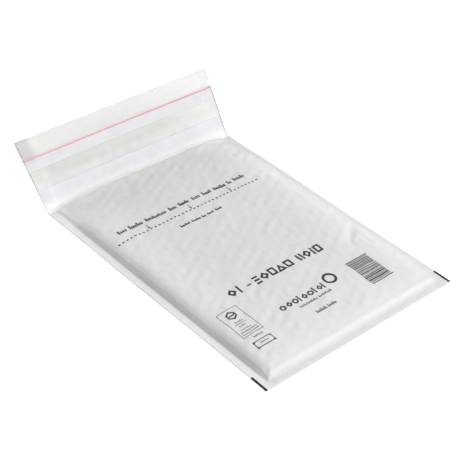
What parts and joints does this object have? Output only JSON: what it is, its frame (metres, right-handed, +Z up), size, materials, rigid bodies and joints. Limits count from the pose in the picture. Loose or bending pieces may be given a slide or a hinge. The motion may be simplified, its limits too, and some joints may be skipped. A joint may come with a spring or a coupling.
{
  "type": "padded envelope",
  "caption": "Flat paper envelope padded with a bubble film bag, open at its mouth, with a self-sealing flap that carries peel-off strips and a tear tape.",
  "frame": {"origin": "on the surface it rests on, under the middle of the whole piece with its flap open", "axes": "+Z up, +Y from the bottom edge towards the flap, +X to the right across the width"},
  "size_m": [0.2, 0.3156, 0.0546],
  "materials": {
    "white_paper": "matt white kraft paper with a soft satin sheen",
    "bubble_film": "clear thin polythene film",
    "adhesive": "pale hot-melt glue",
    "cream_liner": "smooth siliconised paper",
    "red_tape": "thin red film tape",
    "grey_liner": "smooth siliconised paper, grey green",
    "black_ink": "black flexographic print on the front"
  },
  "bodies": {
    "root": {"paper_envelope": "white_paper", "bubble_lining": "bubble_film", "first_adhesive_strip": "adhesive", "first_release_liner": "cream_liner", "tear_tape": "red_tape", "second_adhesive_strip": "adhesive", "second_release_liner": "grey_liner"}
  },
  "joints": []
}
